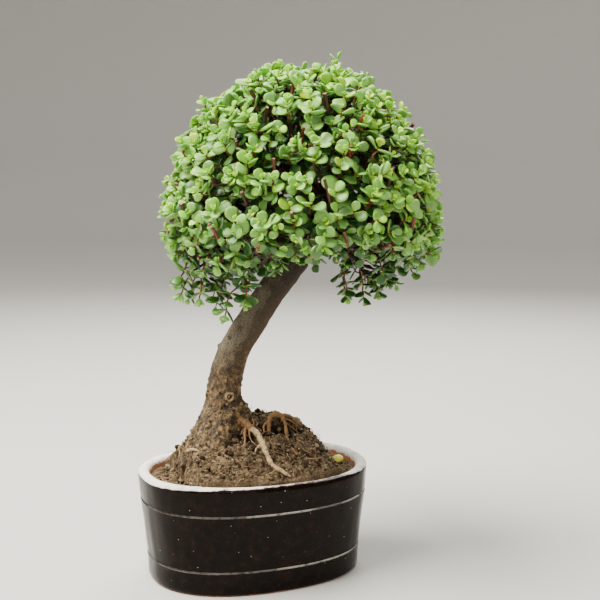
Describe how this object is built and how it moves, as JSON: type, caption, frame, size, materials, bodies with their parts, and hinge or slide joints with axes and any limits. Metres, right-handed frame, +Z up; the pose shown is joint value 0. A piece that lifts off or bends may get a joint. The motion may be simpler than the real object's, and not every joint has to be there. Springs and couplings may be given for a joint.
{
  "type": "potted bonsai tree",
  "caption": "Leaning dwarf jade bonsai with a domed crown of small round leaves, on a mound of soil in an oval dark-glazed pot.",
  "frame": {"origin": "centre of the flat underside of the pot", "axes": "+Z up, +X along the pot's long axis, towards the side that the trunk leans to, -Y towards the side shown in the picture"},
  "size_m": [0.263, 0.2256, 0.4193],
  "materials": {
    "glazed_clay": "glossy near-black brown glaze over stoneware, with a bare cream rim and bare terracotta inside",
    "screen_mesh": "matt black moulded plastic mesh",
    "soil": "dry crumbly tan-brown potting soil",
    "bark": "fine wrinkled grey-beige bark, soil-dusted and browner at the foot",
    "brown_root": "smooth orange-brown root bark",
    "pale_root": "smooth pale root bark, dusted with soil",
    "yellow_leaf": "satin, waxy yellow succulent leaf",
    "leaf": "satin, waxy green succulent leaf on red-brown shoots"
  },
  "bodies": {
    "root": {"pot": "glazed_clay", "drain_screen_left": "screen_mesh", "drain_screen_right": "screen_mesh", "soil": "soil", "trunk": "bark", "root_heel": "brown_root", "root_front": "pale_root", "root_arch": "brown_root", "root_left": "pale_root", "fallen_leaf": "yellow_leaf", "spray_01": "leaf", "spray_02": "leaf", "spray_03": "leaf", "spray_04": "leaf", "spray_05": "leaf", "spray_06": "leaf", "spray_07": "leaf", "spray_08": "leaf", "spray_09": "leaf", "spray_10": "leaf", "spray_11": "leaf", "spray_12": "leaf", "spray_13": "leaf", "spray_14": "leaf", "spray_15": "leaf", "spray_16": "leaf", "spray_17": "leaf", "spray_18": "leaf", "spray_19": "leaf", "spray_20": "leaf", "spray_21": "leaf", "spray_22": "leaf", "spray_23": "leaf", "spray_24": "leaf", "spray_25": "leaf", "spray_26": "leaf", "spray_27": "leaf", "spray_28": "leaf", "spray_29": "leaf", "spray_30": "leaf", "spray_31": "leaf", "spray_32": "leaf", "spray_33": "leaf", "spray_34": "leaf", "spray_35": "leaf"}
  },
  "joints": []
}
